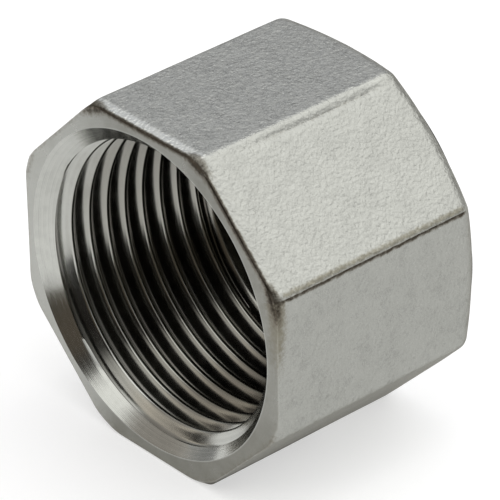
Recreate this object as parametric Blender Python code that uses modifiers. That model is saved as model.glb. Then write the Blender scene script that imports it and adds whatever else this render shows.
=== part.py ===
"""Octagonal pipe cap with an internal one-inch parallel pipe thread.

The cap is one casting: an eight-sided body, closed at one end, with a threaded socket.
It is modelled standing on its closed end with the socket's axis along local Z and the
mouth upward, and then laid on one flat with the mouth towards -Y.
The world origin is at the middle of the flat that it lies on.
"""
import math

import bmesh
import bpy
from mathutils import Matrix

MM = 0.001

# Body
FLAT_COUNT = 8
ACROSS_FLATS = 37.0 * MM
LENGTH = 26.3 * MM
EDGE_RADIUS = 0.5 * MM
MOUTH_CHAMFER_DIAMETER = 38.6 * MM
MOUTH_CHAMFER_ANGLE = math.radians(45)
BACK_FACE_DIAMETER = 34.8 * MM
BACK_CHAMFER_ANGLE = math.radians(25)

# Socket
PITCH = 25.4 / 11 * MM
THREAD_MAJOR_DIAMETER = 33.249 * MM
THREAD_MINOR_DIAMETER = 30.291 * MM
THREAD_FLANK_ANGLE = math.radians(27.5)
GROOVE_ROOT_WIDTH = PITCH / 6
COUNTERSINK_DIAMETER = 34.4 * MM
COUNTERSINK_ANGLE = math.radians(45)
BORE_DEPTH = 22.5 * MM
BORE_CORNER = 0.5 * MM

# Where the thread groove is: its depth below the mouth at angle 0, and where it ends
GROOVE_DEPTH_AT_ZERO = 3.32 * MM
GROOVE_END_ANGLE = math.radians(123)
GROOVE_TURNS_BELOW_ZERO = 8
GROOVE_TURN_COUNT = 10

# Mesh
TURNED_SEGMENTS = 96
BORE_SEGMENTS = 60
SHARP_ANGLE = math.radians(20)
MERGE_DISTANCE = 0.02 * MM
CUTTER_OVERLAP = 2.0 * MM
GROOVE_OVERLAP = 0.2 * MM

MOUTH_Z = LENGTH / 2
BACK_Z = -LENGTH / 2


def clear_scene():
    """Remove every object of the startup scene."""
    for old in list(bpy.data.objects):
        bpy.data.objects.remove(old, do_unlink=True)


def new_collection(name):
    """Make a collection and link it to the scene."""
    collection = bpy.data.collections.new(name)
    bpy.context.scene.collection.children.link(collection)
    return collection


def new_object(name, mesh, collection, parent):
    """Link a mesh to a collection as an object that follows the parent empty."""
    piece = bpy.data.objects.new(name, mesh)
    piece.parent = parent
    collection.objects.link(piece)
    return piece


def mesh_from(name, shape):
    """Turn a bmesh into a mesh with its normals facing out."""
    bmesh.ops.recalc_face_normals(shape, faces=shape.faces)
    mesh = bpy.data.meshes.new(name)
    shape.to_mesh(mesh)
    shape.free()
    return mesh


def hide_cutter(cutter):
    """Show a cutter as wires only and keep it out of renders."""
    cutter.display_type = 'WIRE'
    cutter.hide_render = True


def turned(name, profile, segments, collection, parent):
    """Turn a profile of (radius, height) points, given from top to bottom, around Z."""
    shape = bmesh.new()
    points = [shape.verts.new((radius, 0, height)) for radius, height in profile]
    for upper, lower in zip(points, points[1:]):
        shape.edges.new((upper, lower))
    mesh = bpy.data.meshes.new(name)
    shape.to_mesh(mesh)
    shape.free()
    piece = new_object(name, mesh, collection, parent)
    screw = piece.modifiers.new("Turn", 'SCREW')
    screw.axis = 'Z'
    screw.angle = math.tau
    screw.steps = segments
    screw.render_steps = segments
    screw.use_merge_vertices = True
    screw.merge_threshold = MERGE_DISTANCE
    return piece


def octagon_bar(name, collection, parent):
    """Make the eight-sided bar, longer than the cap at both ends, with soft long edges."""
    corner_radius = ACROSS_FLATS / 2 / math.cos(math.pi / FLAT_COUNT)
    shape = bmesh.new()
    bmesh.ops.create_cone(shape, cap_ends=True, segments=FLAT_COUNT, radius1=corner_radius,
                          radius2=corner_radius, depth=LENGTH + 2 * CUTTER_OVERLAP)
    first = max(shape.verts, key=lambda vert: (round(vert.co.x, 6), vert.co.y)).co
    turn = math.pi / FLAT_COUNT - math.atan2(first.y, first.x)
    bmesh.ops.rotate(shape, verts=shape.verts, cent=(0, 0, 0),
                     matrix=Matrix.Rotation(turn, 3, 'Z'))
    bar = new_object(name, mesh_from(name, shape), collection, parent)
    bevel = bar.modifiers.new("Soft edges", 'BEVEL')
    bevel.width = EDGE_RADIUS * math.tan(math.pi / FLAT_COUNT)
    bevel.segments = 3
    bevel.limit_method = 'ANGLE'
    bevel.angle_limit = math.radians(30)
    return bar


def chamfer_envelope(collection, parent):
    """The turned blank whose ends are the mouth plane, the back plane and both chamfers."""
    clear_radius = ACROSS_FLATS / 2 / math.cos(math.pi / FLAT_COUNT) + CUTTER_OVERLAP
    mouth_radius = MOUTH_CHAMFER_DIAMETER / 2
    back_radius = BACK_FACE_DIAMETER / 2
    mouth_drop = (clear_radius - mouth_radius) * math.tan(MOUTH_CHAMFER_ANGLE)
    back_rise = (clear_radius - back_radius) * math.tan(BACK_CHAMFER_ANGLE)
    profile = [
        (0, MOUTH_Z),
        (mouth_radius, MOUTH_Z),
        (clear_radius, MOUTH_Z - mouth_drop),
        (clear_radius, BACK_Z + back_rise),
        (back_radius, BACK_Z),
        (0, BACK_Z),
    ]
    return turned("turned_blank", profile, TURNED_SEGMENTS, collection, parent)


def bore_cutter(collection, parent):
    """The turned cutter of the socket: countersink, bore at the crests, and flat floor."""
    bore_radius = THREAD_MINOR_DIAMETER / 2
    mouth_radius = COUNTERSINK_DIAMETER / 2
    floor_z = MOUTH_Z - BORE_DEPTH
    countersink_depth = (mouth_radius - bore_radius) / math.tan(COUNTERSINK_ANGLE)
    overlap_radius = mouth_radius + CUTTER_OVERLAP * math.tan(COUNTERSINK_ANGLE)
    profile = [
        (0, MOUTH_Z + CUTTER_OVERLAP),
        (overlap_radius, MOUTH_Z + CUTTER_OVERLAP),
        (bore_radius, MOUTH_Z - countersink_depth),
        (bore_radius, floor_z + BORE_CORNER),
        (bore_radius - BORE_CORNER, floor_z),
        (0, floor_z),
    ]
    return turned("bore_cutter", profile, BORE_SEGMENTS, collection, parent)


def groove_cutter(collection, parent):
    """The thread groove: its V section, swept up a right-hand helix and out of the mouth."""
    root_radius = THREAD_MAJOR_DIAMETER / 2
    base_radius = THREAD_MINOR_DIAMETER / 2 - GROOVE_OVERLAP
    half_root = GROOVE_ROOT_WIDTH / 2
    half_base = half_root + (root_radius - base_radius) * math.tan(THREAD_FLANK_ANGLE)
    turns_at_end = GROOVE_TURNS_BELOW_ZERO - GROOVE_END_ANGLE / math.tau
    section_z = MOUTH_Z - GROOVE_DEPTH_AT_ZERO - turns_at_end * PITCH
    section = [
        (base_radius, section_z - half_base),
        (root_radius, section_z - half_root),
        (root_radius, section_z + half_root),
        (base_radius, section_z + half_base),
    ]
    shape = bmesh.new()
    shape.faces.new([shape.verts.new((radius, 0, height)) for radius, height in section])
    bmesh.ops.rotate(shape, verts=shape.verts, cent=(0, 0, 0),
                     matrix=Matrix.Rotation(GROOVE_END_ANGLE, 3, 'Z'))
    bmesh.ops.spin(shape, geom=shape.verts[:] + shape.edges[:] + shape.faces[:],
                   cent=(0, 0, 0), axis=(0, 0, 1), dvec=(0, 0, PITCH / BORE_SEGMENTS),
                   angle=math.tau * GROOVE_TURN_COUNT,
                   steps=BORE_SEGMENTS * GROOVE_TURN_COUNT)
    return new_object("groove_cutter", mesh_from("groove_cutter", shape), collection, parent)


def combine(piece, tool, operation, name):
    """Cut the piece with a tool, or keep only what lies inside it."""
    hide_cutter(tool)
    boolean = piece.modifiers.new(name, 'BOOLEAN')
    boolean.object = tool
    boolean.operation = operation
    boolean.solver = 'EXACT'


def finish_mesh(piece):
    """Keep the evaluated mesh in place of the modifiers, smooth between its sharp edges."""
    depsgraph = bpy.context.evaluated_depsgraph_get()
    finished = bpy.data.meshes.new_from_object(piece.evaluated_get(depsgraph))
    piece.modifiers.clear()
    piece.data = finished
    finished.name = piece.name
    finished.shade_smooth()
    finished.set_sharp_from_angle(angle=SHARP_ANGLE)


def cast_steel():
    """Satin investment-cast stainless steel."""
    material = bpy.data.materials.new("cast_stainless_steel")
    material.use_nodes = True
    surface = material.node_tree.nodes["Principled BSDF"]
    surface.inputs["Base Color"].default_value = (0.46, 0.46, 0.44, 1)
    surface.inputs["Metallic"].default_value = 1.0
    surface.inputs["Roughness"].default_value = 0.42
    return material


def main():
    """Build the cap and lay it on one flat."""
    clear_scene()
    parts = new_collection("pipe_cap")
    cutters = new_collection("pipe_cap_cutters")
    axis = bpy.data.objects.new("socket_axis", None)
    axis.location = (0, 0, ACROSS_FLATS / 2)
    axis.rotation_euler = (math.radians(90), 0, 0)
    parts.objects.link(axis)
    body = octagon_bar("cap_body", parts, axis)
    combine(body, chamfer_envelope(cutters, axis), 'INTERSECT', "Face and chamfer the ends")
    combine(body, bore_cutter(cutters, axis), 'DIFFERENCE', "Bore and countersink")
    combine(body, groove_cutter(cutters, axis), 'DIFFERENCE', "Cut the thread")
    finish_mesh(body)
    body.data.materials.append(cast_steel())


main()
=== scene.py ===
# %% [markdown]
# # A cast pipe cap with a machined socket
#
# A pipe cap closes the end of a threaded pipe. This one is poured in stainless steel as a single casting:
# eight flats for a wrench outside, a closed end, and an open end that a lathe faces off, countersinks and
# threads. Nothing on it comes apart, so the lesson builds one closed mesh and spends its effort on the
# finishes: blasted cast skin, a turned ring, a bright countersink and a polished thread.
#
# The sizes come from a fixed model that is loaded first. It says how wide, how long and where the cap is,
# and the lesson never moves or changes it.

# %% Load the fixed model
import math

import bmesh
import bpy
import numpy as np
from mathutils import Matrix, Vector, noise


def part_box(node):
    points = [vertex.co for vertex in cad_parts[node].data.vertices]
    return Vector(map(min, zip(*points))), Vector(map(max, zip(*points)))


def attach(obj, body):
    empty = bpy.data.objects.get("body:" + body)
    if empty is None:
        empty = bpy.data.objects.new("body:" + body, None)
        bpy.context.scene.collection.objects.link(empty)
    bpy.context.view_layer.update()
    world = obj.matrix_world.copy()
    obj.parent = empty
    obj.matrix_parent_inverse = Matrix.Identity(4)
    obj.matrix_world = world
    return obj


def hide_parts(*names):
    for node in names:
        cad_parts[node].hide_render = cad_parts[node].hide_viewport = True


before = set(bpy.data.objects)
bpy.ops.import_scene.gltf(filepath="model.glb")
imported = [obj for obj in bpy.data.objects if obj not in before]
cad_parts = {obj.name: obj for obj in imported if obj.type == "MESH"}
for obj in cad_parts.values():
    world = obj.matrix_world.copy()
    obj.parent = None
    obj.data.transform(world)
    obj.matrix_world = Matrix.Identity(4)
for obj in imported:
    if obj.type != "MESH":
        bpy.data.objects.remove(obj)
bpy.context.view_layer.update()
print("nodes in the model:", sorted(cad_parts))

# %% [markdown]
# ## Sizes
#
# The cap lies on one flat. Its socket runs along Y, with the mouth at the low end of Y, so every point is
# easiest to name by three numbers: an angle around the axis, a radius from it, and a depth from the mouth.
# Angle 0 points along +X and 90 degrees points up. All lengths are in metres, and `MM` keeps them readable.

# %% Read the overall sizes from the model
MM = 0.001
low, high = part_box("cap_body")
ACROSS_FLATS = high.x - low.x
LENGTH = high.y - low.y
AXIS_HEIGHT = (low.z + high.z) / 2
MOUTH_Y = low.y
HALF_FLAT = ACROSS_FLATS / 2
FLATS = 8
SECTOR = math.tau / FLATS
CORNER_REACH = HALF_FLAT * math.tan(SECTOR / 2)
print(f"across flats {ACROSS_FLATS / MM:.1f} mm, length {LENGTH / MM:.1f} mm")


def place(angle, radius, depth):
    """Points in space for arrays of angle, radius and depth."""
    angle, radius, depth = np.broadcast_arrays(angle, radius, depth)
    x, z = radius * np.cos(angle), AXIS_HEIGHT + radius * np.sin(angle)
    return np.stack([x, MOUTH_Y + depth, z], axis=-1)


def soft_min(first, second, width):
    """The smaller of two values, with the corner between them rounded over a width."""
    share = np.clip(0.5 + 0.5 * (second - first) / width, 0, 1)
    return second + (first - second) * share - width * share * (1 - share)


def soft_max(first, second, width):
    """The larger of two values, with the corner between them rounded over a width."""
    return -soft_min(-first, -second, width)


def smooth_step(value, start, end):
    """0 below start, 1 above end, and an even S curve between them."""
    share = np.clip((value - start) / (end - start), 0, 1)
    return share * share * (3 - 2 * share)


# %% [markdown]
# ## Where the columns stand
#
# The outside is a grid of columns, which stand around the axis, and rows, which go from the mouth to the
# back. A plain cylinder has its columns evenly spaced, but an octagon needs them close together at its
# eight corners, where the surface turns, and far apart on the flats, where nothing happens. So the columns
# are spaced along each flat by a power curve that slows down near the corners.

# %% Space the columns
HALF_COLUMNS = 24
COLUMN_CROWDING = 1.5
steps = np.linspace(-1, 1, 2 * HALF_COLUMNS + 1)[:-1]
along_flat = CORNER_REACH * np.sign(steps) * (1 - (1 - np.abs(steps)) ** COLUMN_CROWDING)
column_angle = np.concatenate([flat * SECTOR + np.arctan2(along_flat, HALF_FLAT) for flat in range(FLATS)])
column_across = np.tile(along_flat, FLATS)
column_flat = np.repeat(np.arange(FLATS), len(along_flat))
print(len(column_angle), "columns, closest", round(float(np.diff(along_flat).min() / MM), 3), "mm apart")

# %% [markdown]
# ## The outline of the casting
#
# Wax patterns give soft corners, so the octagon's corners are arcs of about a millimetre. The distance from
# the axis to the outline has a formula: on a flat it is the half width over the cosine of the angle from
# the flat's middle, and on a corner it comes from the circle that touches both flats.

# %% Radius of the outline at each column
CORNER_RADIUS = 0.9 * MM


def outline_radius(angle, corner_radius):
    """Distance from the axis to the octagon with rounded corners, at each angle."""
    from_middle = np.abs((angle + SECTOR / 2) % SECTOR - SECTOR / 2)
    on_flat = HALF_FLAT / np.cos(from_middle)
    centre = (HALF_FLAT - corner_radius) / math.cos(SECTOR / 2)
    from_corner = SECTOR / 2 - from_middle
    under_root = np.maximum(corner_radius ** 2 - (centre * np.sin(from_corner)) ** 2, 0)
    on_arc = centre * np.cos(from_corner) + np.sqrt(under_root)
    touch = np.arctan((CORNER_REACH - corner_radius * math.tan(SECTOR / 2)) / HALF_FLAT)
    return np.where(from_middle < touch, on_flat, on_arc)


outline = outline_radius(column_angle, CORNER_RADIUS)
print("corner to corner", round(2 * float(outline.max()) / MM, 2), "mm")

# %% [markdown]
# ## The two ends of the casting
#
# At the mouth the lathe has faced a flat ring and turned the eight corners back to a circle. Blasting has
# worn each flat down a little where it meets the ring, and not equally: by 0.03 mm on one flat and 0.3 mm
# on another. So each flat has its own drop, and one helper blends a value from flat to flat across the
# corners, because a jump there would show as a step in the ring's edge.
#
# At the back a shallow turned chamfer meets the flats in wide arcs, and blasting has rounded the edge.
#
# Both ends could be cut with Booleans and bevelled, but a profile for each column keeps every width exact.
# At the mouth the radius is the smaller of the flat's and a 44 degree cone's, joined softly. The back is a
# run of straight lines and arcs.

# %% Profile of the mouth end
COUNTERSINK_RADIUS = 17.2 * MM
RING_START = 17.35 * MM
CHAMFER_RADIUS = 19.3 * MM
CHAMFER_SLOPE = math.tan(math.radians(44))
CHAMFER_SOFTNESS = 0.25 * MM
FLAT_DROPS = np.array([0.03, 0.17, 0.30, 0.08, 0.20, 0.20, 0.06, 0.05]) * MM
FLAT_DROP_LENGTH = 1.6 * MM
FLAT_DROP_CURVE = 1.7
EDGE_BREAK = 0.09 * MM
RING_ROWS = 6
MOUTH_ROWS = 14
mouth_depths = FLAT_DROP_LENGTH * np.linspace(0, 1, MOUTH_ROWS + 1)[1:] ** 1.5


def around(values):
    """One value for each flat, blended from flat to flat across the corners, at every column."""
    plateau = 0.36 * SECTOR
    flats = np.arange(-1, FLATS + 1)
    stops = np.stack([flats * SECTOR - plateau, flats * SECTOR + plateau], axis=1).reshape(-1)
    return np.interp(column_angle, stops, np.repeat(np.take(values, flats, mode='wrap'), 2))


flat_drop = around(FLAT_DROPS)


def mouth_radius(depth):
    """Radius of every column at a depth inside the mouth zone."""
    ease = 1 - np.clip(depth / FLAT_DROP_LENGTH, 0, 1)
    flat = outline - flat_drop * ease ** FLAT_DROP_CURVE
    cone = CHAMFER_RADIUS + depth * CHAMFER_SLOPE
    return soft_min(flat, cone, CHAMFER_SOFTNESS)


ring_edge = mouth_radius(0.0)
ring_shares = np.linspace(0, 1, RING_ROWS)[:, None]
ring_radius = RING_START + (ring_edge - EDGE_BREAK - RING_START) * ring_shares
ring_depth = np.zeros_like(ring_radius)
mouth_rows = np.array([mouth_radius(depth + EDGE_BREAK) for depth in mouth_depths])
mouth_row_depths = np.repeat(mouth_depths[:, None] + EDGE_BREAK, len(outline), axis=1)
print("ring at mid flat", round(float(ring_edge.min() - COUNTERSINK_RADIUS) / MM, 2), "mm wide")

# %% Profile of the back end
BACK_FACE_RADIUS = 17.4 * MM
BACK_SLOPE = math.radians(24.7)
BACK_EDGE_RADIUS = 2.0 * MM
BACK_EDGE_TURN = math.pi / 2 - BACK_SLOPE
BACK_ARC_ROWS = 12
FACE_EDGE_RADIUS = 2.0 * MM
FACE_ARC_ROWS = 6
FACE_ROWS = 9
edge_tangent = BACK_EDGE_RADIUS * math.tan(BACK_EDGE_TURN / 2)
face_tangent = FACE_EDGE_RADIUS * math.tan(BACK_SLOPE / 2)
back_edge_depth = LENGTH - (outline - BACK_FACE_RADIUS) * math.tan(BACK_SLOPE)
flat_end_depth = back_edge_depth - edge_tangent


def back_profile():
    """Rows of radius and depth from the end of the flats to the middle of the closed end."""
    radii, depths = [], []
    for turn in np.linspace(0, BACK_EDGE_TURN, BACK_ARC_ROWS)[1:]:
        radii.append(outline - BACK_EDGE_RADIUS * (1 - math.cos(turn)))
        depths.append(flat_end_depth + BACK_EDGE_RADIUS * math.sin(turn))
    start_radius = BACK_FACE_RADIUS + face_tangent * math.cos(BACK_SLOPE)
    start_depth = LENGTH - face_tangent * math.sin(BACK_SLOPE)
    radii.append((radii[-1] + start_radius) / 2)
    depths.append((depths[-1] + start_depth) / 2)
    for turn in np.linspace(BACK_SLOPE, 0, FACE_ARC_ROWS):
        radius = BACK_FACE_RADIUS - face_tangent + FACE_EDGE_RADIUS * math.sin(turn)
        radii.append(np.full_like(outline, radius))
        depths.append(np.full_like(outline, LENGTH - FACE_EDGE_RADIUS * (1 - math.cos(turn))))
    for share in np.linspace(1, 0, FACE_ROWS + 1)[1:-1]:
        radii.append(np.full_like(outline, (BACK_FACE_RADIUS - face_tangent) * share))
        depths.append(np.full_like(outline, LENGTH))
    return np.array(radii), np.array(depths)


back_radius, back_depth = back_profile()
print("flats end", round(float((LENGTH - flat_end_depth.max()) / MM), 2), "mm from the back at mid flat")

# %% Stack the rows of the casting
FLAT_ROWS = 62
flat_shares = np.linspace(0, 1, FLAT_ROWS + 1)[1:, None]
flat_start_depth = FLAT_DROP_LENGTH + EDGE_BREAK
flat_depth = flat_start_depth + (flat_end_depth - flat_start_depth) * flat_shares
flat_radius = np.repeat(outline[None, :], FLAT_ROWS, axis=0)
skin_radius = np.concatenate([ring_radius, mouth_rows, flat_radius, back_radius])
skin_depth = np.concatenate([ring_depth, mouth_row_depths, flat_depth, back_depth])
print("casting grid", skin_radius.shape)

# %% [markdown]
# ## The uneven cast skin
#
# A casting is never quite flat. Noise at a few scales lifts and sinks the skin by hundredths of a
# millimetre. A Displace modifier could do it, but here the height of every point is also wanted for the
# marks that follow, so it is worked out in plain numbers. The turned ring stays true, because the lathe
# cut it, and the lift fades in just behind it.
#
# Two marks are real shapes too. A soft crease runs along the flat at 45 degrees, a millimetre under its
# upper edge, where the wax pattern's halves met, and leaves the edge standing as a rounded bead. A ragged
# seam runs just under its lower edge. Both are grooves with a bell-shaped section that wander a little.

# %% Lift the skin
SKIN_WAVES = [
    # size of the bumps, height
    (5.0 * MM, 0.022 * MM),
    (1.6 * MM, 0.010 * MM),
    (0.8 * MM, 0.006 * MM),
]


def noise_at(points, size, seed):
    """Smooth noise between -1 and 1 at every point, with bumps of a given size."""
    offset = Vector((seed * 13.7, seed * 7.1, seed * 3.3))
    flat_points = points.reshape(-1, 3) / size
    values = [noise.noise(Vector(point) + offset) for point in flat_points]
    return np.array(values).reshape(points.shape[:-1])


skin_points = place(column_angle[None, :], skin_radius, skin_depth)
lift = np.zeros_like(skin_radius)
for seed, (size, wave_height) in enumerate(SKIN_WAVES, 1):
    lift = lift + wave_height * noise_at(skin_points, size, seed)
cast_share = smooth_step(skin_depth, 0.05 * MM, 0.5 * MM)
skin_lift = lift * cast_share
print("skin lift", round(float(np.abs(skin_lift).max() / MM), 3), "mm at most")

# %% Mark the seams
JOIN_FLAT = 1
JOIN_ACROSS = CORNER_REACH - 0.95 * MM
EDGE_FLAT = 0
EDGE_ACROSS = CORNER_REACH - 0.16 * MM
JOIN_GROOVE_DEPTH = 0.135 * MM
EDGE_GROOVE_DEPTH = 0.08 * MM
SKIN_SINK = 0.02 * MM
wandering = noise_at(skin_points, 0.7 * MM, 21)


def groove(flat, across, width, wander):
    """How much of a groove along a flat each point holds, from 0 to 1."""
    distance = column_across[None, :] - across + wander * wandering
    return np.exp(-(distance / width) ** 2) * (column_flat[None, :] == flat)


join_run = smooth_step(skin_depth, 3 * MM, 10 * MM) * (1 - smooth_step(skin_depth, 21 * MM, 25 * MM))
join_mark = groove(JOIN_FLAT, JOIN_ACROSS, 0.26 * MM, 0.06 * MM) * join_run
edge_run = smooth_step(skin_depth, 0.3 * MM, 1.5 * MM) * (1 - smooth_step(skin_depth, 24 * MM, 25 * MM))
edge_mark = groove(EDGE_FLAT, EDGE_ACROSS, 0.24 * MM, 0.16 * MM) * edge_run
skin_lift = skin_lift - JOIN_GROOVE_DEPTH * join_mark - EDGE_GROOVE_DEPTH * edge_mark
face_share = smooth_step(skin_depth, LENGTH - 0.6 * MM, LENGTH - 0.05 * MM)
skin_radius = skin_radius + skin_lift * (1 - face_share)
skin_depth = skin_depth + (skin_lift - SKIN_SINK) * face_share
print("seams marked on flats", JOIN_FLAT, "and", EDGE_FLAT)

# %% [markdown]
# ## Where scale and tarnish lie
#
# Blasting never quite reaches the narrow places. The turned-back corners at the mouth keep a dark brownish
# scale, a thin ragged line of it follows the ring's outer edge, and the seams hold a little too. A paler
# olive tarnish lies beside the lower seam and runs down from the corner under it.
#
# These are facts about places on the casting, so they are worked out for each point and stored on the mesh
# as attributes. The other way is to paint them by hand as a texture, but numbers need no unwrapping and can
# be changed one at a time. The materials read them later and break their edges up with noise.
#
# Every mark is laid out from three distances: how far a point is from the mouth's edge, how far from the
# nearest corner, and how far across its own flat.

# %% Measure from the mouth's edge and the corners
flat_index = column_flat[None, :]
across = column_across[None, :]
skin_row = np.arange(len(skin_radius))[:, None]
on_ring = skin_row < RING_ROWS
edge_distance = np.where(on_ring, ring_edge[None, :] - skin_radius, skin_depth)
corner_index = np.where(column_across > 0, column_flat, (column_flat - 1) % FLATS)[None, :]
corner_distance = CORNER_REACH - np.abs(across)
print("marks are laid out from the ring's edge and from", FLATS, "corners")

# %% Dark scale
SCALE_BY_FLAT = np.array([0.10, 1.15, 1.0, 0.42, 0.30, 0.28, 0.36, 0.40])
SCALE_BY_CORNER = np.array([0.85, 0.80, 0.80, 0.45, 0.25, 0.30, 0.25, 0.10])
ring_band = 1 - smooth_step(edge_distance, 0.05 * MM, 0.70 * MM)
skin_band = 1 - smooth_step(edge_distance, 0.10 * MM, 0.50 * MM)
edge_scale = np.where(on_ring, ring_band, skin_band) * SCALE_BY_FLAT[column_flat][None, :]
turned_back = smooth_step(outline - flat_drop - CHAMFER_RADIUS, -0.60 * MM, 0.25 * MM)[None, :]
corner_reach = 1 - smooth_step(edge_distance, 0.20 * MM, 1.25 * MM)
corner_scale = turned_back * corner_reach * SCALE_BY_CORNER[corner_index[0]][None, :]
seam_scale = edge_mark * 1.15 + join_mark * 0.25
scale_mark = np.clip(np.maximum(edge_scale, corner_scale) + seam_scale, 0, 1)
print("scale on", int((scale_mark > 0.3).sum()), "points")

# %% Olive tarnish
SEAM_STAIN_REACH = 0.40 * MM
DRIP_REACH = 1.1 * MM
beside_seam = np.exp(-((across + CORNER_REACH - 0.35 * MM) / SEAM_STAIN_REACH) ** 2)
beside_seam = beside_seam * (flat_index == JOIN_FLAT) * edge_run
drip = np.exp(-((edge_distance - 0.2 * MM) / DRIP_REACH) ** 2) * (skin_depth < LENGTH / 2)
drip = drip * smooth_step(across, -5 * MM, 6.5 * MM) * (flat_index == EDGE_FLAT)
tarnish_mark = np.clip(beside_seam * 0.90 + drip * 1.1, 0, 1)
print("tarnish on", int((tarnish_mark > 0.3).sum()), "points")

# %% [markdown]
# ## Rubbed places, darker places, painted shade, grain and painted glints
#
# Handling has rubbed most corners and most of the mouth's edge bright, wherever the dark scale hasn't
# covered them. Other places are darker than the rest: the ring on some sides, most at its bottom and on the
# +X side, and the underside, whose darkening is painted shade, deepest along its low edge near the mouth.
# The upright flat is a little darker too. And the flats were not blasted equally hard, so some have a
# deeper grain and some have more painted glints, lighter specks in the colour that stand in for faces
# catching the light.
#
# Each of these gets one number for each flat or corner. They are evened out on the closed end, which is
# one turned and blasted face, and would otherwise show the eight flats as eight slices of a pie.

# %% Rubbed places
WEAR_BY_FLAT = np.array([0.0, 0.20, 1.0, 0.6, 0.4, 0.4, 0.4, 0.3])
WEAR_BY_CORNER = np.array([0.0, 0.40, 0.5, 0.4, 0.4, 0.4, 0.4, 0.3])
mouth_wear = smooth_step(skin_depth, 0.15 * MM, 0.45 * MM)
mouth_wear = mouth_wear * (1 - smooth_step(skin_depth, 0.6 * MM, 1.8 * MM))
mouth_wear = mouth_wear * WEAR_BY_FLAT[column_flat][None, :]
corner_wear = 1 - smooth_step(corner_distance, 0.30 * MM, 0.85 * MM)
corner_wear = corner_wear * WEAR_BY_CORNER[corner_index[0]][None, :]
worn_mark = np.clip(np.maximum(mouth_wear, corner_wear * 0.8) * (1 - corner_scale), 0, 1)
print("rubbed bright on", int((worn_mark > 0.3).sum()), "points")

# %% Grain, painted glints, darker places and painted shade
GRAIN_BY_FLAT = np.array([0.50, 0.46, 0.62, 0.7, 0.6, 0.7, 0.7, 0.6])
# Painted glints: how strongly each flat gets lighter specks and grit contrast in its colour.
PAINTED_GLINT_BY_FLAT = np.array([0.45, 0.20, 1.0, 0.6, 0.6, 0.6, 0.6, 0.5])
grain_mark = GRAIN_BY_FLAT[column_flat][None, :] * np.ones_like(skin_depth)
painted_glint_mark = PAINTED_GLINT_BY_FLAT[column_flat][None, :] * np.ones_like(skin_depth)
# The ring is made darker on some sides: most at its bottom and on the +X side, hardly at all on the -X
# side.
RING_DARKENING_BY_FLAT = [0.58, 0.60, 0.45, 0.10, 0.0, 0.20, 0.80, 0.75]
# Painted shade: the lower flat at 45 degrees is darkened a little everywhere and fully along its low edge
# by the floor, towards the mouth. The upright flat is made a little darker.
painted_contact_shade = 1 - smooth_step(across + CORNER_REACH, 0.8 * MM, 3.6 * MM)
painted_contact_shade = painted_contact_shade * (1 - smooth_step(skin_depth, 12 * MM, 16 * MM))
painted_underside_shade = (flat_index == FLATS - 1) * (0.25 + 0.75 * painted_contact_shade)
skin_darkening_and_shade = 0.20 * (flat_index == EDGE_FLAT) + painted_underside_shade
darkening_and_shade_mark = np.where(on_ring, around(RING_DARKENING_BY_FLAT)[None, :], skin_darkening_and_shade)
print("ring darkening from", min(RING_DARKENING_BY_FLAT), "to", max(RING_DARKENING_BY_FLAT))

# %% Even out the closed end
BACK_GRAIN = 0.6
BACK_PAINTED_GLINT = 0.6
inset = outline[None, :] - skin_radius
on_back = smooth_step(inset, 0.1 * MM, 1.1 * MM) * (skin_depth > LENGTH / 2)
worn_mark = worn_mark * (1 - on_back)
darkening_and_shade_mark = darkening_and_shade_mark * (1 - on_back)
grain_mark = grain_mark + (BACK_GRAIN - grain_mark) * on_back
painted_glint_mark = painted_glint_mark + (BACK_PAINTED_GLINT - painted_glint_mark) * on_back
casting_marks = {"scale": scale_mark, "tarnish": tarnish_mark, "grain": grain_mark,
                 "worn": worn_mark, "darkening_and_shade": darkening_and_shade_mark, "painted_glint": painted_glint_mark}
print("stored with the mesh:", sorted(casting_marks))

# %% [markdown]
# ## The socket
#
# The inside is a one-inch parallel pipe thread with 11 threads to the inch. A thread could be cut with a
# Boolean or turned with a Screw modifier, but a helix drawn as a grid is smoother and closes cleanly. The
# rows of this grid follow the helix, so each crest and each root lies along a row. When a row comes round
# to where it started, it is one pitch deeper, and joins the row that many places further on.
#
# The wall is wherever the outermost cut reached: at each angle and depth its radius is the larger of the
# thread's and the countersink's. Rows that would stand out of the mouth are held on the mouth's circle,
# and their spare points are merged away afterwards.
#
# The flanks lean a few degrees more than the standard's 27.5, and the crests and roots are softer, as
# polishing leaves them. Leaning flanks show the floor in front of the cap as a light band on each turn.
# The grid also keeps a mark of painted shade behind each crest, on the back flank and in the root, fainter
# along the bottom.

# %% Radius of the socket wall
PITCH = 25.4 / 11 * MM
MINOR_RADIUS = 30.291 / 2 * MM
HALF_CREST = PITCH / 12
FLANK_LEAN = math.radians(33)
FLANK_SLOPE = 1 / math.tan(FLANK_LEAN)
CREST_ROUNDING = 0.20 * MM
ROOT_ROUNDING = 0.35 * MM
ROOT_DROP = 0.10 * MM
COUNTERSINK_SOFTNESS = 0.05 * MM
CREST_DEPTH_AT_ZERO = 3.32 * MM - PITCH / 2
BORE_END = 22.0 * MM
THREAD_FADE = (19.6 * MM, 21.4 * MM)


def past_crest(angle, depth):
    """Distance along the axis from the nearest crest, positive on its far side."""
    travelled = depth - CREST_DEPTH_AT_ZERO + PITCH * angle / math.tau
    return (travelled + PITCH / 2) % PITCH - PITCH / 2


def socket_radius(angle, depth):
    """Radius of the socket wall at each angle and depth."""
    from_crest = np.abs(past_crest(angle, depth))
    flank = MINOR_RADIUS + (from_crest - HALF_CREST) * FLANK_SLOPE
    root = MINOR_RADIUS + (PITCH / 2 - HALF_CREST) * FLANK_SLOPE - ROOT_DROP
    thread = soft_min(soft_max(flank, MINOR_RADIUS, CREST_ROUNDING), root, ROOT_ROUNDING)
    fade = 1 - smooth_step(depth, *THREAD_FADE)
    thread = MINOR_RADIUS + (thread - MINOR_RADIUS) * fade
    return soft_max(thread, COUNTERSINK_RADIUS - depth, COUNTERSINK_SOFTNESS)


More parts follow.
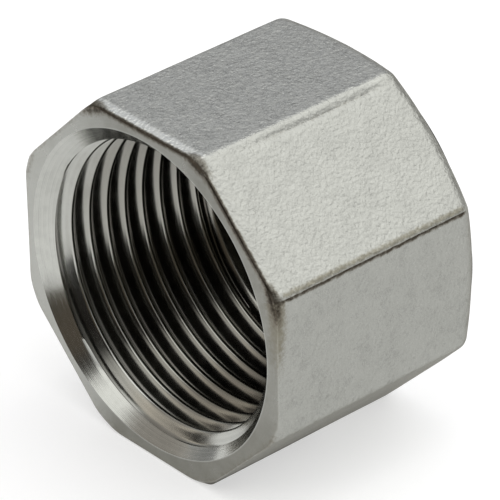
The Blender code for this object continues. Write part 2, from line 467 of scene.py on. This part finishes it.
# %% Draw the helical grid
SOCKET_COLUMNS = 256
half_section = np.array([0.0, 0.10, 0.15, 0.19, 0.24, 0.32, 0.50, 0.70, 0.84, 0.95, 1.05]) * MM
section = np.concatenate([half_section, [PITCH / 2], PITCH - half_section[:0:-1]])
section_rows = len(section)
TURNS = 12
row_offset = np.concatenate([section + turn * PITCH for turn in range(TURNS)])
socket_angle = np.arange(SOCKET_COLUMNS) / SOCKET_COLUMNS * math.tau
top_row_depth = CREST_DEPTH_AT_ZERO - 2 * PITCH
helix_depth = top_row_depth + row_offset[:, None] - PITCH * socket_angle[None, :] / math.tau
helix_depth = np.clip(helix_depth, 0, BORE_END)
helix_radius = socket_radius(socket_angle[None, :], helix_depth)
print("socket grid", helix_radius.shape, "crest rows follow a pitch of", round(PITCH / MM, 3), "mm")

# %% Mark the painted shade behind each crest
PAINTED_SHADE_AT_BOTTOM = 0.4
from_crest = past_crest(socket_angle[None, :], helix_depth)
far_side = smooth_step(from_crest, 0.15 * MM, 0.40 * MM)
in_root = 1 - smooth_step(from_crest + PITCH / 2, 0, 0.30 * MM)
lower_wall = 0.5 - 0.5 * np.sin(socket_angle)[None, :]
painted_shade_behind_crest = np.clip(far_side + in_root, 0, 1)
painted_shade_behind_crest = painted_shade_behind_crest * (1 - (1 - PAINTED_SHADE_AT_BOTTOM) * lower_wall ** 4)
print("oil marked on", int((painted_shade_behind_crest > 0.3).sum()), "points of the thread")

# %% Draw the floor of the socket
FLOOR_CORNER = 0.5 * MM
FLOOR_CORNER_ROWS = 4
FLOOR_ROWS = 10
corner_turns = np.linspace(0, math.pi / 2, FLOOR_CORNER_ROWS + 1)[1:]
floor_shares = np.linspace(1, 0, FLOOR_ROWS + 1)[1:-1]
floor_reach = MINOR_RADIUS - FLOOR_CORNER
corner_radii = floor_reach + FLOOR_CORNER * np.cos(corner_turns)
corner_depths = BORE_END + FLOOR_CORNER * np.sin(corner_turns)
floor_radii = np.concatenate([corner_radii, floor_reach * floor_shares])
floor_depths = np.concatenate([corner_depths, np.full_like(floor_shares, BORE_END + FLOOR_CORNER)])
print("socket depth", round(float(floor_depths.max()) / MM, 1), "mm")

# %% [markdown]
# ## One closed mesh
#
# The casting's grid and the socket's grid are both open at the mouth: one ends on a circle just outside
# the other. Blender's triangle fill closes the narrow ring between the two circles, even though they have
# different numbers of points, and merging by distance removes the spare points at the mouth and the floor.
# A Boolean of two closed solids could make the same shape, but its cut edges are harder to keep even.
#
# A casting is seldom held quite true in the lathe's chuck, so the socket sits a fifth of a millimetre off
# the outside's centre, and the ring is a little wider on one side. Each band of rows keeps the number of
# its finish, so that one mesh can wear four materials.

# %% Helpers that turn grids into faces
CAST, RING, SINK, THREAD = range(4)


def band_faces(rows, columns, first_index, next_column):
    """Faces between neighbouring rows, with next_column giving the index one column on."""
    faces = []
    for row in range(rows - 1):
        for column in range(columns):
            here = first_index + row * columns + column
            faces.append((here, next_column(row, column), next_column(row + 1, column), here + columns))
    return faces


def fan_faces(ring_index, columns, centre_index):
    """Triangles from the last circle of a grid to one point in its middle."""
    faces = []
    for column in range(columns):
        next_one = (column + 1) % columns
        faces.append((ring_index + column, ring_index + next_one, centre_index))
    return faces


# %% Faces of the casting
SOCKET_SHIFT = np.array([-0.22 * MM, 0.0, 0.04 * MM])
skin_rows, skin_columns = skin_radius.shape
skin_points = place(column_angle[None, :], skin_radius, skin_depth)
skin_points[:RING_ROWS] += SOCKET_SHIFT * (1 - ring_shares[:, :, None])
skin_points = skin_points.reshape(-1, 3)
back_centre = place(0.0, 0.0, LENGTH - SKIN_SINK).reshape(1, 3)


def next_skin(row, column):
    """The skin's point one column on, in the same row."""
    return row * skin_columns + (column + 1) % skin_columns


skin_faces = band_faces(skin_rows, skin_columns, 0, next_skin)
ring_faces = RING_ROWS * skin_columns
skin_finish = [RING] * ring_faces + [CAST] * (len(skin_faces) - ring_faces)
skin_faces += fan_faces((skin_rows - 1) * skin_columns, skin_columns, len(skin_points))
skin_finish += [CAST] * skin_columns
print(len(skin_faces), "faces on the casting")

# %% Faces of the socket
SINK_TOLERANCE = 0.03 * MM
first_socket = len(skin_points) + 1
helix_rows = len(row_offset)
floor_grid = place(socket_angle[None, :], floor_radii[:, None], floor_depths[:, None])
helix_grid = place(socket_angle[None, :], helix_radius, helix_depth)
socket_points = np.concatenate([helix_grid, floor_grid]).reshape(-1, 3) + SOCKET_SHIFT
socket_rows = helix_rows + len(floor_radii)
floor_centre = place(0.0, 0.0, BORE_END + FLOOR_CORNER).reshape(1, 3) + SOCKET_SHIFT


def next_socket(row, column):
    """The socket's point one column on, which is one pitch of rows back where the helix closes."""
    if column + 1 < SOCKET_COLUMNS:
        return first_socket + row * SOCKET_COLUMNS + column + 1
    if row < helix_rows:
        row = max(row - section_rows, 0)
    return first_socket + row * SOCKET_COLUMNS


socket_faces = band_faces(socket_rows, SOCKET_COLUMNS, first_socket, next_socket)
floor_grid_depth = np.repeat(floor_depths[:, None], SOCKET_COLUMNS, axis=1)
floor_grid_radius = np.repeat(floor_radii[:, None], SOCKET_COLUMNS, axis=1)
face_depth = np.concatenate([helix_depth, floor_grid_depth])[:-1]
face_radius = np.concatenate([helix_radius, floor_grid_radius])[:-1]
on_sink = np.abs(face_radius - (COUNTERSINK_RADIUS - face_depth)) < SINK_TOLERANCE
socket_finish = [SINK if sunk else THREAD for sunk in on_sink.reshape(-1)]
socket_faces += fan_faces(first_socket + (socket_rows - 1) * SOCKET_COLUMNS, SOCKET_COLUMNS,
                          first_socket + len(socket_points))
socket_finish += [THREAD] * SOCKET_COLUMNS
print(len(socket_faces), "faces on the socket before merging")

# %% Join the two grids
all_points = np.concatenate([skin_points, back_centre, socket_points, floor_centre])
cap_mesh = bpy.data.meshes.new("pipe_cap")
cap_mesh.from_pydata(all_points.tolist(), [], skin_faces + socket_faces)
cap_mesh.polygons.foreach_set("material_index", skin_finish + socket_finish)


def store_mark(name, values, first_index):
    """Store a mark on the points that start at an index, and 0 on all others."""
    stored = cap_mesh.attributes.new(name, 'FLOAT', 'POINT')
    spread = np.zeros(len(all_points))
    spread[first_index:first_index + values.size] = values.reshape(-1)
    stored.data.foreach_set("value", spread)


for mark, values in casting_marks.items():
    store_mark(mark, values, 0)
store_mark("painted_shade_behind_crest", painted_shade_behind_crest, first_socket)
print(len(cap_mesh.vertices), "points before merging")

# %% Merge and close the mesh
MERGE_DISTANCE = 0.0005 * MM
shape = bmesh.new()
shape.from_mesh(cap_mesh)
bmesh.ops.remove_doubles(shape, verts=shape.verts, dist=MERGE_DISTANCE)
open_edges = [edge for edge in shape.edges if edge.is_boundary]
filled = bmesh.ops.triangle_fill(shape, use_beauty=True, edges=open_edges)
for part in filled["geom"]:
    if isinstance(part, bmesh.types.BMFace):
        part.material_index = RING
bmesh.ops.recalc_face_normals(shape, faces=shape.faces)
volume = shape.calc_volume(signed=True)
still_open = sum(not edge.is_manifold for edge in shape.edges)
shape.to_mesh(cap_mesh)
shape.free()
print("open edges filled:", len(open_edges), "left open:", still_open)
print("volume", round(volume * 1e6, 2), "cm3")

# %% Make the piece
SHARP_ANGLE = math.radians(33)
cap = bpy.data.objects.new("pipe_cap", cap_mesh)
bpy.context.scene.collection.objects.link(cap)
cap_mesh.shade_smooth()
cap_mesh.set_sharp_from_angle(angle=SHARP_ANGLE)
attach(cap, "root")
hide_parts("cap_body")
triangles = sum(len(face.vertices) - 2 for face in cap_mesh.polygons)
print(len(cap_mesh.vertices), "vertices,", triangles, "triangles")

# %% [markdown]
# ## Finishes
#
# Everything here is one stainless steel, so all four finishes are metals. What sets them apart is how rough
# each one is and what its surface is covered with, and a tree of shader nodes can say that. Image
# textures would need unwrapping and could repeat, while noise in three dimensions does neither.
#
# Small helpers keep the trees short: one adds a node and fills its inputs, and three wrap the nodes used
# most. The steel's own colour is a faintly warm grey that leans to green, so a tint is a helper as well.

# %% Helpers for node trees
def add(tree, kind, values=None, **options):
    """Add a shader node with its options, and link or set its inputs."""
    node = tree.nodes.new("ShaderNode" + kind)
    for option, value in options.items():
        setattr(node, option, value)
    for key, value in (values or {}).items():
        if isinstance(value, bpy.types.NodeSocket):
            tree.links.new(value, node.inputs[key])
        else:
            node.inputs[key].default_value = value
    return node


def maths(tree, operation, first, second=0.0):
    """Two values combined by an operation."""
    return add(tree, "Math", {0: first, 1: second}, operation=operation).outputs[0]


def remap(tree, value, low, high, new_low=0.0, new_high=1.0):
    """A value carried smoothly from one range to another, and held at the ends."""
    ranges = {"Value": value, "From Min": low, "From Max": high, "To Min": new_low, "To Max": new_high}
    return add(tree, "MapRange", ranges, interpolation_type='SMOOTHSTEP').outputs["Result"]


def blend(tree, share, first, second):
    """Two colours mixed by a share."""
    node = add(tree, "Mix", data_type='RGBA')
    for index, value in ((0, share), (6, first), (7, second)):
        if isinstance(value, bpy.types.NodeSocket):
            tree.links.new(value, node.inputs[index])
        else:
            node.inputs[index].default_value = value
    return node.outputs[2]


def grey(value):
    """A neutral colour."""
    return (value, value, value, 1)


def steel_tint(value):
    """The faintly green and yellow grey of this steel."""
    return (value * 0.99, value, value * 0.935, 1)


# %% Helpers for steel
def start_steel(name):
    """A new metal in the cap's next material slot, with its tree and surface node."""
    material = bpy.data.materials.new(name)
    material.use_nodes = True
    surface = material.node_tree.nodes["Principled BSDF"]
    surface.inputs["Metallic"].default_value = 1.0
    cap_mesh.materials.append(material)
    return material.node_tree, surface


def lumps(tree, place_in, size, detail=2.0, roughness=0.55):
    """Noise from 0 to 1 with lumps of about a given size."""
    values = {"Vector": place_in, "Scale": 1 / size, "Detail": detail, "Roughness": roughness}
    return add(tree, "TexNoise", values).outputs[0]


def mark_value(tree, name):
    """A mark that was stored on the mesh."""
    return add(tree, "Attribute", attribute_name=name).outputs["Fac"]


BREAK_UP = 1.2


def broken_mark(tree, name, ragged, low, high):
    """A stored mark whose edge is broken up by noise around a half."""
    moved = maths(tree, 'MULTIPLY_ADD', ragged, BREAK_UP)
    moved.node.inputs[2].default_value = -BREAK_UP / 2
    total = maths(tree, 'ADD', mark_value(tree, name), moved)
    return remap(tree, total, low, high)


def cover(tree, share, most, colour, film):
    """A colour with a film over it, which hides at most a given part of it."""
    return blend(tree, maths(tree, 'MULTIPLY', share, most), colour, film)


OLIVE = (0.185, 0.168, 0.118, 1)


def finish_steel(tree, surface, colour, roughness, height, depth):
    """Link a colour, a roughness and a bumpy height to a surface."""
    tree.links.new(colour, surface.inputs["Base Color"])
    tree.links.new(roughness, surface.inputs["Roughness"])
    bump = add(tree, "Bump", {"Height": height, "Distance": depth, "Strength": 1.0})
    tree.links.new(bump.outputs["Normal"], surface.inputs["Normal"])


# %% [markdown]
# ### The blasted cast skin
#
# Shot leaves a skin of little pebbles, a little under half a millimetre across, with finer grit and a few
# pits. Seen from a hand's length away it reads as sparkle, because every pebble catches the light at its
# own angle. Real geometry this fine would need millions of faces, so the pebbles are a bump on the surface,
# and its height follows the stored grain.
#
# The colour is built up in layers, from the metal outwards: mottled steel, painted glints, painted shade on
# the underside and a slightly darker upright flat, streaks rubbed bright along the cap, the olive tarnish,
# and the dark scale, with a thin brown film around it. At a glancing angle the pebbles shade each other, so
# the specular tint is turned down.

# %% Cast skin
tree, surface = start_steel("cast_skin")
spot = add(tree, "TexCoord").outputs["Object"]
mottle = lumps(tree, spot, 2.2 * MM, 3.0)
blotch = lumps(tree, spot, 0.70 * MM, 3.0, 0.65)
grit = lumps(tree, spot, 0.14 * MM, 2.0, 0.6)
mottle_share = remap(tree, mottle, 0.3, 0.7, 0.93, 1.06)
blotch_share = remap(tree, blotch, 0.3, 0.7, 0.88, 1.11)
# Painted glints: where this mark is high, the grit's light and dark contrast is stronger.
painted_glint = mark_value(tree, "painted_glint")
grit_change = maths(tree, 'MULTIPLY', remap(tree, grit, 0.3, 0.72, -0.28, 0.25), painted_glint)
grit_share = maths(tree, 'ADD', grit_change, 1.0)
brightness = maths(tree, 'MULTIPLY', maths(tree, 'MULTIPLY', mottle_share, blotch_share), grit_share)
colour = blend(tree, brightness, grey(0.0), steel_tint(0.44))
# Painted glints: lighter specks in the colour that stand in for little faces catching the light.
painted_sparkle = remap(tree, lumps(tree, spot, 0.17 * MM, 1.0), 0.60, 0.74)
painted_sparkle = maths(tree, 'MULTIPLY', painted_sparkle, painted_glint)
colour = cover(tree, painted_sparkle, 0.6, colour, steel_tint(0.66))
# Painted shade on the underside, and a slightly darker upright flat.
colour = cover(tree, mark_value(tree, "darkening_and_shade"), 0.75, colour, steel_tint(0.12))
print("cast skin: metal in", len(tree.nodes), "nodes")

# %% Rubbing, tarnish and scale on the cast skin
streak_place = add(tree, "VectorMath", {0: spot, 1: (1.0, 0.16, 1.0)}, operation='MULTIPLY').outputs[0]
streaks = lumps(tree, streak_place, 0.28 * MM, 2.0, 0.6)
worn = broken_mark(tree, "worn", streaks, 0.38, 0.80)
colour = cover(tree, worn, 0.85, colour, steel_tint(0.68))

ragged = lumps(tree, spot, 0.45 * MM, 4.0, 0.7)
tarnish = broken_mark(tree, "tarnish", ragged, 0.25, 1.0)
film = broken_mark(tree, "scale", ragged, 0.10, 0.70)
scale = broken_mark(tree, "scale", ragged, 0.50, 1.05)
colour = cover(tree, tarnish, 0.75, colour, OLIVE)
colour = cover(tree, film, 0.75, colour, (0.155, 0.140, 0.110, 1))
colour = cover(tree, scale, 0.90, colour, (0.045, 0.037, 0.028, 1))
print("cast skin: colour in", len(tree.nodes), "nodes")

# %% Pebbles on the cast skin
PEBBLE_DEPTH = 0.20 * MM
pebbles = lumps(tree, spot, 0.40 * MM, 1.5, 0.5)
pit_values = {"Vector": spot, "Scale": 1 / (0.55 * MM)}
pits = add(tree, "TexVoronoi", pit_values, feature='SMOOTH_F1').outputs["Distance"]
height = maths(tree, 'ADD', pebbles, maths(tree, 'MULTIPLY', pits, 0.08))
height = maths(tree, 'ADD', height, maths(tree, 'MULTIPLY', grit, 0.10))
height = maths(tree, 'MULTIPLY', height, mark_value(tree, "grain"))
rough = remap(tree, blotch, 0.3, 0.7, 0.40, 0.50)
rough = maths(tree, 'ADD', rough, maths(tree, 'MULTIPLY', worn, -0.10))
finish_steel(tree, surface, colour, rough, height, PEBBLE_DEPTH)
surface.inputs["Specular Tint"].default_value = (0.40, 0.38, 0.35, 1)
print("cast skin has", len(tree.nodes), "nodes")

# %% [markdown]
# ### The turned surfaces
#
# A lathe tool leaves lines that run around the axis. On the ring, the countersink and the thread's flanks,
# every such line keeps one distance from the axis, so noise in a single dimension, read with that distance,
# gives the lines on all of them. Only their strength differs: satin on the ring, faint in the socket.
#
# The ring is the dullest of the three, with darker brown-grey patches that are heaviest at its bottom and
# on the
# +X side, and its outer edge takes the same scale and tarnish as the skin. The countersink is bright and
# clean.
# The thread is smooth, and a thin brown oil film deepens towards the closed end, where it is also painted
# shade that keeps the depth of the socket dark, and painted shade lies behind each crest.

# %% Turning lines
def distance_from_axis(tree):
    """The place on the object, and its distance from the axis."""
    spot = add(tree, "TexCoord").outputs["Object"]
    from_axis = add(tree, "VectorMath", {0: spot, 1: (0, 0, -AXIS_HEIGHT)}, operation='ADD').outputs[0]
    flattened = add(tree, "VectorMath", {0: from_axis, 1: (1, 0, 1)}, operation='MULTIPLY').outputs[0]
    return spot, add(tree, "VectorMath", {0: flattened}, operation='LENGTH').outputs["Value"]


def turning_lines(tree, reach, spacing, detail=3.0):
    """Noise that changes only with the distance from the axis."""
    values = {"W": reach, "Scale": 1 / spacing, "Detail": detail, "Roughness": 0.6}
    return add(tree, "TexNoise", values, noise_dimensions='1D').outputs[0]


# %% Turned ring
tree, surface = start_steel("turned_ring")
spot, reach = distance_from_axis(tree)
lines = turning_lines(tree, reach, 0.10 * MM)
cloud = lumps(tree, spot, 1.6 * MM, 4.0, 0.6)
specks = lumps(tree, spot, 0.16 * MM, 2.0, 0.6)
line_share = remap(tree, lines, 0.25, 0.75, 0.94, 1.05)
cloud_share = remap(tree, cloud, 0.3, 0.7, 0.94, 1.05)
speck_share = remap(tree, specks, 0.25, 0.75, 0.94, 1.05)
brightness = maths(tree, 'MULTIPLY', maths(tree, 'MULTIPLY', line_share, cloud_share), speck_share)
colour = blend(tree, brightness, grey(0.0), steel_tint(0.42))
ragged = lumps(tree, spot, 0.40 * MM, 4.0, 0.7)
film = broken_mark(tree, "scale", ragged, 0.10, 0.80)
scale = broken_mark(tree, "scale", ragged, 0.50, 1.05)
# Darker patches on the ring, heaviest at its bottom and on the +X side.
clouded = maths(tree, 'ADD', mark_value(tree, "darkening_and_shade"), maths(tree, 'MULTIPLY', cloud, 0.4))
darkening_and_shade = remap(tree, clouded, 0.1, 1.3)
colour = cover(tree, darkening_and_shade, 0.85, colour, (0.135, 0.130, 0.105, 1))
tarnish = broken_mark(tree, "tarnish", ragged, 0.25, 1.0)
colour = cover(tree, tarnish, 0.6, colour, OLIVE)
colour = cover(tree, film, 0.75, colour, (0.150, 0.130, 0.098, 1))
colour = cover(tree, scale, 0.88, colour, (0.050, 0.040, 0.030, 1))
rough = remap(tree, cloud, 0.3, 0.7, 0.27, 0.36)
height = maths(tree, 'ADD', lines, maths(tree, 'MULTIPLY', specks, 0.5))
finish_steel(tree, surface, colour, rough, height, 0.006 * MM)
print("turned ring has", len(tree.nodes), "nodes")

# %% Bright countersink
tree, surface = start_steel("bright_countersink")
spot, reach = distance_from_axis(tree)
lines = turning_lines(tree, reach, 0.09 * MM)
cloud = lumps(tree, spot, 1.2 * MM, 3.0)
line_share = remap(tree, lines, 0.25, 0.75, 0.88, 1.06)
cloud_share = remap(tree, cloud, 0.3, 0.7, 0.94, 1.04)
brightness = maths(tree, 'MULTIPLY', line_share, cloud_share)
colour = blend(tree, brightness, grey(0.0), steel_tint(0.50))
rough = remap(tree, lines, 0.25, 0.75, 0.13, 0.21)
finish_steel(tree, surface, colour, rough, lines, 0.004 * MM)
print("bright countersink has", len(tree.nodes), "nodes")

# %% Polished thread
OIL_AND_SHADE_START = 4 * MM
OIL_AND_SHADE_FULL = 12 * MM
OIL_AND_SHADE_WANDER = 6 * MM
tree, surface = start_steel("polished_thread")
spot, reach = distance_from_axis(tree)
lines = turning_lines(tree, reach, 0.30 * MM, 2.0)
cloud = lumps(tree, spot, 1.8 * MM, 3.0)
line_share = remap(tree, lines, 0.25, 0.75, 0.93, 1.04)
cloud_share = remap(tree, cloud, 0.3, 0.7, 0.93, 1.04)
brightness = maths(tree, 'MULTIPLY', line_share, cloud_share)
colour = blend(tree, brightness, grey(0.0), steel_tint(0.46))
# A brown oil film that darkens towards the closed end, and is partly painted shade for the depth of the
# socket.
along = add(tree, "SeparateXYZ", {0: spot}).outputs["Y"]
wander = lumps(tree, spot, 5 * MM, 2.0)
along = maths(tree, 'ADD', along, maths(tree, 'MULTIPLY', wander, OIL_AND_SHADE_WANDER))
oil_and_shade = remap(tree, along, MOUTH_Y + OIL_AND_SHADE_START, MOUTH_Y + OIL_AND_SHADE_FULL, 0.0, 0.55)
colour = blend(tree, oil_and_shade, colour, (0.170, 0.157, 0.130, 1))
# Painted shade behind each crest darkens the back flanks and the roots.
colour = cover(tree, mark_value(tree, "painted_shade_behind_crest"), 0.85, colour, (0.050, 0.042, 0.034, 1))
rough = remap(tree, cloud, 0.3, 0.7, 0.14, 0.19)
finish_steel(tree, surface, colour, rough, lines, 0.003 * MM)
print("finishes on the cap:", [slot.name for slot in cap_mesh.materials])

# %% [markdown]
# ## The camera
#
# The camera stands to the right of the mouth and looks down on the cap, from far enough away that the back
# of the cap is hardly smaller than its front. A long lens then fills the view. Its place is worked out from
# an azimuth, an elevation and a distance in widths of the cap, which are easier to adjust than three
# coordinates, and its three axes are built directly, so no constraint is needed to aim it.

# %% Camera
CAMERA_AZIMUTH = math.radians(48.65)
CAMERA_ELEVATION = math.radians(31.41)
CAMERA_ROLL = math.radians(-1.02)
CAMERA_DISTANCE = 12.11 * ACROSS_FLATS
CAMERA_SHIFT = (-0.0014 * ACROSS_FLATS, -0.0050 * ACROSS_FLATS)
SENSOR = 36.0
LENS = 329.7


def toward(azimuth, elevation):
    """The direction at an azimuth, turned from the mouth's side towards the right, and an elevation."""
    level = math.cos(elevation)
    return Vector((math.sin(azimuth) * level, -math.cos(azimuth) * level, math.sin(elevation)))


back = toward(CAMERA_AZIMUTH, CAMERA_ELEVATION)
level = Vector((math.cos(CAMERA_AZIMUTH), math.sin(CAMERA_AZIMUTH), 0))
rise = back.cross(level)
right = level * math.cos(CAMERA_ROLL) + rise * math.sin(CAMERA_ROLL)
up = rise * math.cos(CAMERA_ROLL) - level * math.sin(CAMERA_ROLL)
middle = Vector((0, MOUTH_Y + LENGTH / 2, AXIS_HEIGHT))
camera_data = bpy.data.cameras.new("camera")
camera_data.lens = LENS
camera_data.sensor_width = SENSOR
camera_data.clip_start = 0.01
camera = bpy.data.objects.new("camera", camera_data)
bpy.context.scene.collection.objects.link(camera)
camera_place = middle + back * CAMERA_DISTANCE + right * CAMERA_SHIFT[0] + up * CAMERA_SHIFT[1]
camera.matrix_world = Matrix.Translation(camera_place) @ Matrix((right, up, back)).transposed().to_4x4()
bpy.context.scene.camera = camera
print("camera", round(CAMERA_DISTANCE, 3), "m away")

# %% [markdown]
# ## The studio
#
# Polished steel has hardly a look of its own: it shows what stands around it. So the studio is planned as
# the steel sees it. A pale floor lights the mouth and the upright flat from below. It glows a little of its
# own, which keeps the shadow under the cap faint.
#
# A low dark card stands in front of the mouth. Only mirror-like reflections see it, so it casts no shadow
# and isn't in the picture, but it blackens the left side of the thread as a dark doorway would.

# %% Floor
def flat_sheet(name, width, height):
    """A rectangle in its own XY plane."""
    mesh = bpy.data.meshes.new(name)
    half_x, half_y = width / 2, height / 2
    corners = [(-half_x, -half_y, 0), (half_x, -half_y, 0), (half_x, half_y, 0), (-half_x, half_y, 0)]
    mesh.from_pydata(corners, [], [(0, 1, 2, 3)])
    sheet = bpy.data.objects.new(name, mesh)
    bpy.context.scene.collection.objects.link(sheet)
    return sheet


def paint(sheet, name, colour, glow=0.0):
    """Give a sheet a dull paint, with some glow of its own if asked."""
    material = bpy.data.materials.new(name)
    material.use_nodes = True
    surface = material.node_tree.nodes["Principled BSDF"]
    surface.inputs["Base Color"].default_value = (*colour, 1)
    surface.inputs["Roughness"].default_value = 0.8
    surface.inputs["Specular IOR Level"].default_value = 0.0
    surface.inputs["Emission Color"].default_value = (1, 1, 1, 1)
    surface.inputs["Emission Strength"].default_value = glow
    sheet.data.materials.append(material)


FLOOR_SIZE = 8.0
FLOOR_GAP = 0.05 * MM
floor = flat_sheet("floor", FLOOR_SIZE, FLOOR_SIZE)
floor.location = (0, 0, -FLOOR_GAP)
paint(floor, "floor_paint", (0.60, 0.60, 0.60), 0.50)
print("floor", FLOOR_SIZE, "m across")

# %% A dark card in front of the mouth
CARD_HEIGHT = 19 * MM
CARD_DISTANCE = 50 * MM
CARD_WIDTH = 115 * MM
CARD_RIGHT_END = 15 * MM
card = flat_sheet("dark_card", CARD_WIDTH, CARD_HEIGHT)
card.rotation_euler = (math.pi / 2, 0, 0)
card.location = (CARD_RIGHT_END - CARD_WIDTH / 2, MOUTH_Y - CARD_DISTANCE, CARD_HEIGHT / 2)
card.visible_camera = False
card.visible_diffuse = False
card.visible_shadow = False
paint(card, "card_paint", (0.02, 0.018, 0.016))
print("card", round(CARD_WIDTH / MM), "by", round(CARD_HEIGHT / MM), "mm")

# %% [markdown]
# ### The room
#
# Area lamps would each leave a hard-edged mirror image in the steel. The room is a world shader instead. It
# starts as a gradient from the horizon up and then paints soft patches on it, each with a direction, an
# inner and an outer width, and a colour. Later patches lie over earlier ones.
#
# Each patch answers one part of the cap. The dark front draws the black bands between the threads, the
# panels to the left light the lowest turns and the countersink, the big panel behind and above lights the
# flat at 45 degrees from its upper edge, so that every pebble has a light side and a dark side, and a dull
# horizon behind draws a thin dark line along the back edges.

# %% The room as the steel sees it
ROOM_LIGHT = 1.0
PATCHES = [
    # name, azimuth, elevation, inner width and outer width in degrees, colour
    ("dark front", 8, 0, 34, 58, (0.060, 0.055, 0.050)),
    ("black doorway", 8, 7, 17, 24, (0.012, 0.010, 0.008)),
    ("dim right", 48, 12, 16, 27, (0.165, 0.150, 0.120)),
    ("dim front right", 30, 20, 10, 18, (0.120, 0.100, 0.078)),
    ("left panel", -22, 21, 8, 22, (0.90, 0.88, 0.84)),
    ("low left panel", -44, 10, 10, 28, (0.95, 0.86, 0.75)),
    ("grey left", -52, 34, 12, 26, (0.43, 0.40, 0.37)),
    ("high front panel", -5, 51, 16, 20, (1.45, 1.45, 1.43)),
    ("big back panel", 158, 58, 8, 56, (1.88, 1.88, 1.85)),
    ("dull horizon", 180, 8, 12, 24, (0.12, 0.11, 0.095)),
    ("dull left horizon", -150, 2, 10, 20, (0.17, 0.155, 0.13)),
    ("bluish back left", -131, 32, 18, 40, (0.79, 0.805, 0.875)),
    ("ceiling", 0, 90, 18, 32, (1.7, 1.7, 1.7)),
]
world = bpy.data.worlds.new("room")
world.use_nodes = True
tree = world.node_tree
direction = add(tree, "TexCoord").outputs["Generated"]
direction = add(tree, "VectorMath", {0: direction}, operation='NORMALIZE').outputs[0]
rising = add(tree, "SeparateXYZ", {0: direction}).outputs["Z"]
room = blend(tree, remap(tree, rising, 0.0, 0.5), grey(0.30), grey(0.60))
room = blend(tree, remap(tree, rising, 0.5, 1.0), room, grey(0.95))
for name, azimuth, elevation, inner, outer, patch_colour in PATCHES:
    aim = toward(math.radians(azimuth), math.radians(elevation))
    near = add(tree, "VectorMath", {0: direction, 1: aim}, operation='DOT_PRODUCT').outputs["Value"]
    share = remap(tree, near, math.cos(math.radians(outer)), math.cos(math.radians(inner)))
    share.node.label = name
    room = blend(tree, share, room, (*patch_colour, 1))
background = tree.nodes["Background"]
tree.links.new(room, background.inputs["Color"])
background.inputs["Strength"].default_value = ROOM_LIGHT
bpy.context.scene.world = world
bpy.context.scene.view_settings.view_transform = 'Standard'
print(len(PATCHES), "patches in the room")
